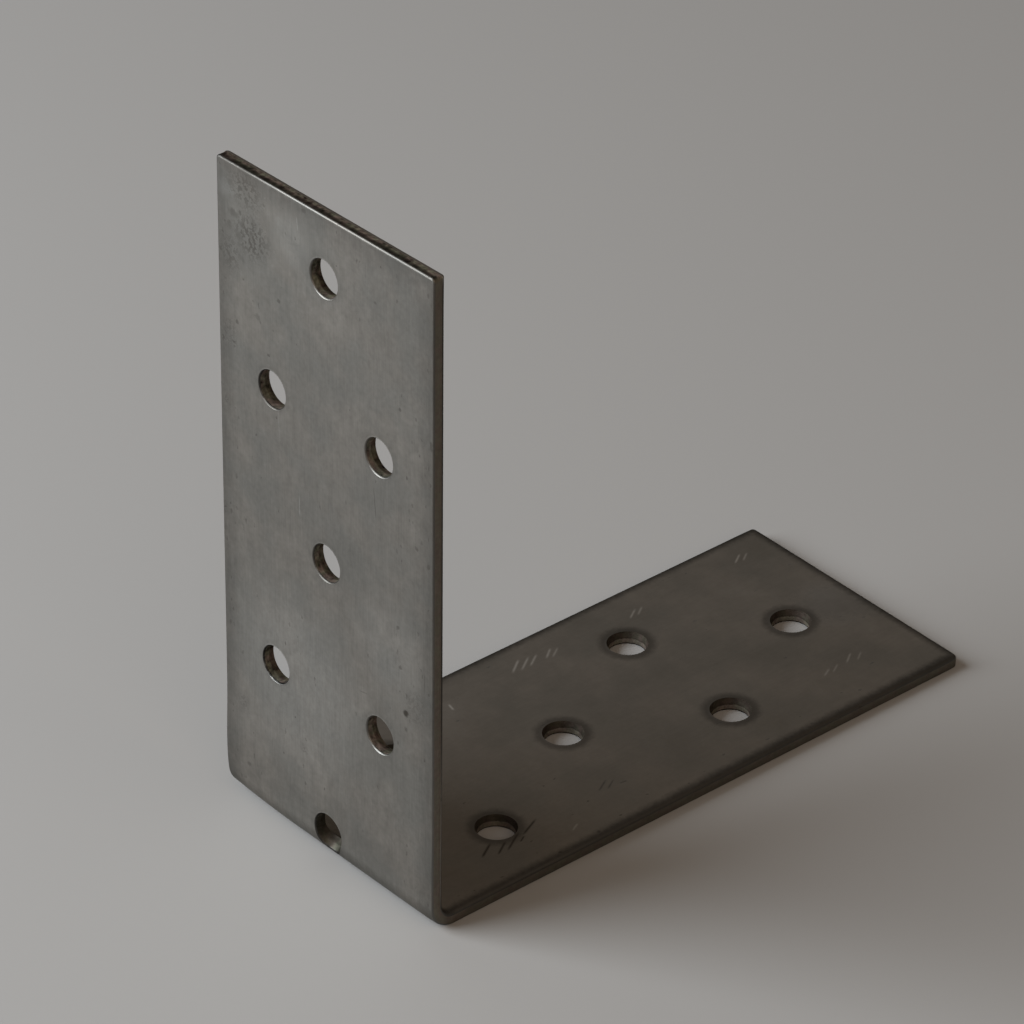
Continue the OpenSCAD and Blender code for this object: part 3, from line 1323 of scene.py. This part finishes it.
@dataclass(frozen=True)
class CutFinish:
    """Sheared metal: the walls of the holes and the straight part of the outline's edge.

    In a hole the sheared land is a dull grey, and the torn part is darker with old dirt; in the foot
    it is darker still, as painted shadow on the wall. The hole that runs into the fold is dark
    throughout, partly as painted shade that holds back a lamp's reflection on its curved wall. On the
    free end the part next to the outside face is the darker one, near black as painted shade for a
    shiny land that mirrors the dark room.

    Args:
        strip: the strip, for the depth at which the tear starts.
        land: colour of the sheared part of a hole.
        tear: colour of the torn part of a hole.
        shaded_bent: colour of the wall of the hole that runs into the fold, dark partly as painted
            shade that holds back a lamp's reflection.
        foot_land: colour of the sheared part of a hole in the foot.
        shaded_foot_tear: colour of the torn part of a hole in the foot, darkened as painted shadow.
        rim: colour of the free end's edge next to the outside face, near black as painted shade for a
            shiny land that mirrors the dark room.
        back: colour of the free end's edge next to the inside face.
        side: colour of the upright's long edges.
        foot: colour of the foot's edges.
        olive: tint of the greener patches.
        plum: tint of the redder patches.
    """

    strip: Strip
    land: tuple = (0.235, 0.216, 0.192, 1.0)
    tear: tuple = (0.155, 0.136, 0.116, 1.0)
    shaded_bent: tuple = (0.084, 0.080, 0.067, 1.0)
    foot_land: tuple = (0.24, 0.215, 0.188, 1.0)
    shaded_foot_tear: tuple = (0.072, 0.062, 0.052, 1.0)
    rim: tuple = (0.062, 0.057, 0.051, 1.0)
    back: tuple = (0.165, 0.148, 0.126, 1.0)
    side: tuple = (0.195, 0.176, 0.152, 1.0)
    foot: tuple = (0.166, 0.157, 0.138, 1.0)
    olive: tuple = (0.97, 1.03, 0.90, 1.0)
    plum: tuple = (1.06, 0.93, 0.91, 1.0)

    def build(self, effects: Effects) -> bpy.types.Material:
        """Makes the material.

        Args:
            effects: the shared node groups.

        Returns:
            The material.
        """
        strip = self.strip
        canvas = Canvas("cut_edge", effects)
        graph = canvas.graph
        outline = graph.math("LESS_THAN", canvas.edge_gap, 1.0 * MM)
        from_top = graph.smooth(canvas.along, 0.05 * MM, 0.4 * MM)
        in_fold = graph.smooth(canvas.along, strip.fold_start - 4.0 * MM, strip.fold_start)
        on_foot = graph.smooth(canvas.along, strip.fold_end, strip.fold_end + 4.0 * MM)
        cloud = graph.centred(canvas.cloud(*DIRT))
        mottle = graph.centred(canvas.cloud(*CRUST))
        down = graph.fit(cloud, 0.35, graph.math("DIVIDE", canvas.deep, strip.thickness))
        torn = graph.smooth(down, strip.clean_share - 0.05, strip.clean_share + 0.05)
        # The fold hole's wall is dark partly as painted shade, which holds back a lamp's reflection.
        hole = graph.blend(in_fold, graph.blend(torn, self.land, self.tear), self.shaded_bent)
        # In the foot the torn part is darkened as painted shadow.
        hole = graph.blend(on_foot, hole, graph.blend(torn, self.foot_land, self.shaded_foot_tear))
        # The near-black band next to the outside face on the free end is painted shade.
        edge = graph.blend(graph.smooth(down, 0.27, 0.57), self.rim, self.back)
        edge = graph.blend(on_foot, graph.blend(from_top, edge, self.side), self.foot)
        colour = graph.blend(outline, hole, edge)
        # The long edges and the hole in the fold are plainer than the rest.
        plain = graph.math("MAXIMUM", graph.times(outline, from_top), graph.times(in_fold, 0.7))
        patch = graph.fit(cloud, 0.7, mottle)
        colour = graph.toned(colour, graph.fit(patch, graph.fit(plain, -2.5, 3.0), 1.0))
        hue = graph.smooth(canvas.cloud(*HUES), 0.42, 0.58)
        tint = graph.blend(hue, self.olive, self.plum)
        colour = graph.blend(graph.fit(plain, -0.6, 1.0), colour, tint, "MULTIPLY")
        crumbs = graph.times(canvas.cloud(*CRUMBS), torn)
        return canvas.finish(colour, graph.fit(torn, 0.1, 0.58), crumbs, 0.6, 0.06 * MM)


@dataclass(frozen=True)
class Lamp:
    """One soft square lamp.

    Args:
        name: its name.
        place: where it hangs.
        target: the point that it faces.
        size: length of its side.
        power: its power in watts.
        colour: its colour.
    """

    name: str
    place: tuple
    target: tuple
    size: float
    power: float
    colour: tuple

    def hang(self) -> None:
        """Hangs the lamp in the scene."""
        light = bpy.data.lights.new(self.name, "AREA")
        light.shape = "SQUARE"
        light.size = self.size
        light.energy = self.power
        light.color = self.colour
        lamp = bpy.data.objects.new(self.name, light)
        lamp.location = self.place
        way = Vector(self.target) - Vector(self.place)
        lamp.rotation_euler = way.to_track_quat("-Z", "Y").to_euler()
        bpy.context.scene.collection.objects.link(lamp)


@dataclass(frozen=True)
class Studio:
    """Plain floor, soft light and the camera.

    Args:
        floor_colour: colour of the floor.
        air: colour of the dim room round the stage.
        camera_place: where the camera stands.
        camera_turn: its turn about X, Y and Z in degrees.
        lens: its focal length in millimetres.
        sensor: width of its sensor in millimetres.
        floor_size: distance from the middle of the floor to its sides.
        lamps: the lamps.
    """

    floor_colour: tuple = (0.36, 0.357, 0.350, 1.0)
    air: tuple = (0.135, 0.111, 0.089, 1.0)
    camera_place: tuple = (-0.427661, -0.469773, 0.443500)
    camera_turn: tuple = (57.11412, -0.51837, -40.92865)
    lens: float = 210.777
    sensor: float = 36.0
    floor_size: float = 3.0
    lamps: tuple[Lamp, ...] = (
        Lamp("window", (-0.585, 0.395, 0.430), (0.0, 0.0, 0.02), 0.58, 10.2, (0.91, 0.955, 1.0)),
        Lamp("room_light", (-0.35, -0.9, 0.9), (0.05, 0.0, 0.0), 1.2, 4.5, (1.0, 0.80, 0.64)),
    )

    def floor(self, level: float) -> bpy.types.Object:
        """Lays the floor.

        Args:
            level: height of the floor, on which the foot rests.

        Returns:
            The floor.
        """
        mesh = bpy.data.meshes.new("floor")
        size = self.floor_size
        corners = [(x * size, y * size, level) for x, y in ((-1, -1), (1, -1), (1, 1), (-1, 1))]
        mesh.from_pydata(corners, [], [(0, 1, 2, 3)])
        floor = bpy.data.objects.new("floor", mesh)
        bpy.context.scene.collection.objects.link(floor)
        material, _, shader = new_material("floor_paint")
        shader.inputs["Base Color"].default_value = self.floor_colour
        shader.inputs["Roughness"].default_value = 0.85
        shader.inputs["Specular IOR Level"].default_value = 0.2
        mesh.materials.append(material)
        floor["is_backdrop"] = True
        return floor

    def build(self, level: float) -> None:
        """Sets up floor, light, room and camera.

        Args:
            level: height of the floor.
        """
        scene = bpy.context.scene
        self.floor(level)
        for lamp in self.lamps:
            lamp.hang()
        world = bpy.data.worlds.new("room")
        world.use_nodes = True
        ground = world.node_tree.nodes["Background"]
        ground.inputs["Color"].default_value = self.air
        ground.inputs["Strength"].default_value = 1.0
        scene.world = world
        lens = bpy.data.cameras.new("camera")
        lens.lens = self.lens
        lens.sensor_width = self.sensor
        lens.clip_start = 0.01
        camera = bpy.data.objects.new("camera", lens)
        camera.location = self.camera_place
        camera.rotation_euler = Euler([math.radians(angle) for angle in self.camera_turn], "XYZ")
        scene.collection.objects.link(camera)
        scene.camera = camera
        scene.view_settings.view_transform = "Standard"


def main() -> None:
    """Builds the bracket, dresses it and sets the stage."""
    logging.basicConfig(level=logging.INFO, format="%(name)s: %(message)s")
    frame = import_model()
    low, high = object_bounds()
    strip = Strip.from_part(low, high, frame["record"])
    effects = Effects()
    piece = Bracket(strip).build()
    faces = (SheetFinish("outside_face", OUTSIDE), SheetFinish("inside_face", INSIDE))
    for finish in (*faces, CutFinish(strip)):
        piece.data.materials.append(finish.build(effects))
    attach(piece, "root")
    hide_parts("angle_bracket")
    LOG.info("folded_sheet: %d faces, strip %.2f mm long", len(piece.data.polygons), strip.length / MM)
    Studio().build(low[2])


if __name__ == "__main__":
    main()
